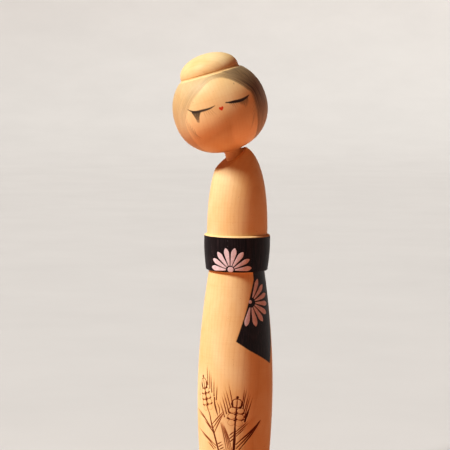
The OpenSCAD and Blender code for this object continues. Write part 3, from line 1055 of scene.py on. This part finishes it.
def head_material():
    graph = Graph("head_wood")
    place, colour, roughness, relief = wood(graph, (-14.0, 45.0, -9.0), (70.0, 44.0), figure=0.55)
    hair = graph.field("hair")
    flow = graph.add("CombineXYZ", {0: hair, 1: graph.times(graph.field("along"), 5.0)}).outputs[0]
    swept = graph.noise(flow, (2.7, 1.0, 1.0), 4.0, 0.7)
    local = graph.field("wood", "Vector")
    outward = graph.add("VectorMath", {0: graph.scaled(local, (1, 1, 0))}, operation="NORMALIZE").outputs[0]
    level = graph.scaled(local, (0.0, 0.0, 0.08))
    combed = graph.noise(outward, (48.0, 48.0, 0.0), 4.0, 0.7, level)
    fine = graph.between(graph.remap(hair, 6.0, 15.0, smooth=True), swept, combed)
    broad = graph.noise(flow, (0.45, 1.4, 1.0), 3.0, 0.55, (7.0, 3.0, 0.0))
    strands = graph.math("ADD", graph.times(fine, 0.7), graph.times(broad, 0.3))
    ragged = graph.math("ADD", hair, graph.remap(fine, 0.3, 0.7, -0.9, 0.9))
    cover = graph.remap(ragged, -0.5, 1.1, smooth=True)
    below_bun = graph.math("ADD", graph.field("top_band"), graph.remap(fine, 0.3, 0.7, -0.35, 0.35))
    cover = graph.times(cover, graph.remap(below_bun, 0.9, 1.7, smooth=True))
    cover = graph.times(cover, graph.remap(graph.field("neck_band"), 0.0, 3.0, smooth=True))
    # The wash's weight, and with it the dark strands, is partly painted shade on the side away from the key
    # light, as well as the brush load
    weight = graph.times(graph.field("wash_and_shade"), graph.remap(hair, 3.0, 22.0, 1.0, 0.80))
    covered = graph.times(cover, weight)
    wash_and_shade = graph.times(covered, graph.remap(strands, 0.36, 0.62, 0.68, 1.0))
    colour = graph.mix(graph.times(wash_and_shade, 0.86), colour, HAIR_WASH)
    dark = graph.times(graph.times(covered, weight), graph.remap(fine, 0.42, 0.62))
    colour = graph.mix(graph.times(dark, 0.92), colour, HAIR_DARK)

    colour = graph.mix(graph.times(graph.field("brown"), 0.85), colour, LASH_BROWN)
    colour = graph.mix(graph.field("ink"), colour, FACE_INK)
    lips = painted_mask(graph, "lips", place, 0.15, 0.22)
    colour = graph.mix(lips, colour, LIP_RED)
    return graph.surface(colour, roughness, relief)


def bun_material():
    graph = Graph("bun_wood")
    _, colour, roughness, relief = wood(graph, (23.0, 30.0, 60.0), (40.0, 66.0))
    return graph.surface(colour, roughness, relief)


def dowel_material():
    """Bare dowel wood, placed by the object's own coordinates, as CAD dowels store none of wood."""
    graph = Graph("dowel_wood")
    place = graph.scaled(graph.add("TexCoord").outputs["Object"], (1000, 1000, 1000))
    fibres = graph.noise(place, (2.6, 2.6, 0.08), 4.0, 0.6)
    colour = graph.mix(graph.remap(fibres, 0.35, 0.75), (0.70, 0.47, 0.25), (0.52, 0.31, 0.14))
    return graph.surface(colour, graph.remap(fibres, 0.3, 0.8, 0.55, 0.7), fibres, 0.03, 0.5)


def floor_material():
    graph = Graph("studio_floor")
    mottle = graph.noise(graph.add("TexCoord").outputs["Object"], (6.0, 6.0, 6.0), 4.0, 0.6)
    colour = graph.mix(graph.remap(mottle, 0.3, 0.7), (0.64, 0.66, 0.68), (0.67, 0.69, 0.71))
    return graph.surface(colour, 0.75, mottle, 0.05, 0.5)


# ---- studio

FLOOR_FLAT = 3500.0
FLOOR_RISE = 2500.0
CAMERA_AWAY = 1200.0
CAMERA_UP = 270.6
CAMERA_SIDE = -7.8
CAMERA_PITCH = 5.07
CAMERA_ROLL = 0.72
LENS_MM = 152.1
SENSOR_MM = 36.0
KEY_AZIMUTH = -70.0
KEY_ELEVATION = 46.0
KEY_SOFTNESS = 15.0
KEY_STRENGTH = 3.9
KEY_COLOUR = (1.0, 0.975, 0.90)
FILL_AZIMUTH = 70.0
FILL_AWAY, FILL_SIZE = 0.9, 0.8   # metres
FILL_WATTS = 0.5
FILL_COLOUR = (1.0, 0.34, 0.14)
AIM_HEIGHT = 0.16                 # metres
GLOW_LOW = (1.0, 0.34, 0.17)      # soft light from below, as a floor throws it back
GLOW_HIGH = (0.075, 0.028, 0.018)  # and from the sides and above
GLOW_SPAN = (-0.85, 0.05)         # how far up it goes over from one to the other: -1 down, 1 up
GLOW_STRENGTH = 1.22


def build_floor():
    """A round pale floor that sweeps up far away on every side."""
    skin = Skin(BODY, columns((180, 3.75)))
    for a in np.linspace(pi / 2, 0, 14)[:-1]:
        edge = (FLOOR_FLAT + FLOOR_RISE * sin(a), FLOOR_RISE * (1 - cos(a)))
        skin.turned([edge], skin.spread[:-1])
    skin.turned([(r, 0.0) for r in np.linspace(FLOOR_FLAT, 0.0, 8)[:-1]], skin.spread[:-1])
    skin.pole(0.0)
    skin.finish()
    floor = show("studio_floor", skin.mesh("studio_floor", {}))
    floor.data.materials.append(floor_material())
    floor.visible_diffuse = False


def add_light(name, kind, energy, colour, azimuth, elevation, distance=1.0, **settings):
    """A light that shines on the doll's middle from an azimuth and elevation."""
    data = bpy.data.lights.new(name, kind)
    data.energy = energy
    data.color = colour
    for key, value in settings.items():
        setattr(data, key, value)
    a, e = radians(azimuth), radians(elevation)
    away = Vector((sin(a) * cos(e), -cos(a) * cos(e), sin(e)))
    light = show(name, data)
    light.location = Vector((0, 0, AIM_HEIGHT)) + away * distance
    light.rotation_euler = away.to_track_quat("Z", "Y").to_euler()
    light.visible_camera = False


def build_lights():
    add_light("key", "SUN", KEY_STRENGTH, KEY_COLOUR, KEY_AZIMUTH, KEY_ELEVATION,
              angle=radians(KEY_SOFTNESS))
    add_light("fill", "AREA", FILL_WATTS, FILL_COLOUR, FILL_AZIMUTH, 0.0, FILL_AWAY, size=FILL_SIZE)
    graph = Graph("studio", "worlds")
    place = graph.add("TexCoord").outputs["Generated"]
    height = graph.add("SeparateXYZ", {0: place}).outputs["Z"]
    glow = graph.mix(graph.remap(height, *GLOW_SPAN), GLOW_LOW, GLOW_HIGH)
    background = graph.add("Background", {"Color": glow, "Strength": GLOW_STRENGTH})
    graph.add("OutputWorld", {"Surface": background.outputs[0]})
    bpy.context.scene.world = graph.owner
    bpy.context.scene.view_settings.view_transform = "Standard"
    bpy.context.scene.view_settings.look = "Medium High Contrast"


def build_camera():
    data = bpy.data.cameras.new("camera")
    data.lens = LENS_MM
    data.sensor_width = SENSOR_MM
    data.clip_start = 0.05
    data.clip_end = 60.0
    camera = show("camera", data)
    place = Matrix.Translation(Vector((CAMERA_SIDE, -CAMERA_AWAY, CAMERA_UP)) * MM)
    pitch = Matrix.Rotation(radians(90 - CAMERA_PITCH), 4, "X")
    camera.matrix_world = place @ pitch @ Matrix.Rotation(radians(CAMERA_ROLL), 4, "Z")
    bpy.context.scene.camera = camera


build_camera()
build_lights()
build_floor()
build_lower_body(lower_material())
build_sash(sash_material())
build_torso(torso_material())
build_head(head_material())
build_bun(bun_material())
bare = dowel_material()
for dowel in ("body_dowel", "neck_peg", "bun_peg"):
    for material_slot in frame["nodes"][dowel].material_slots:
        material_slot.material = bare
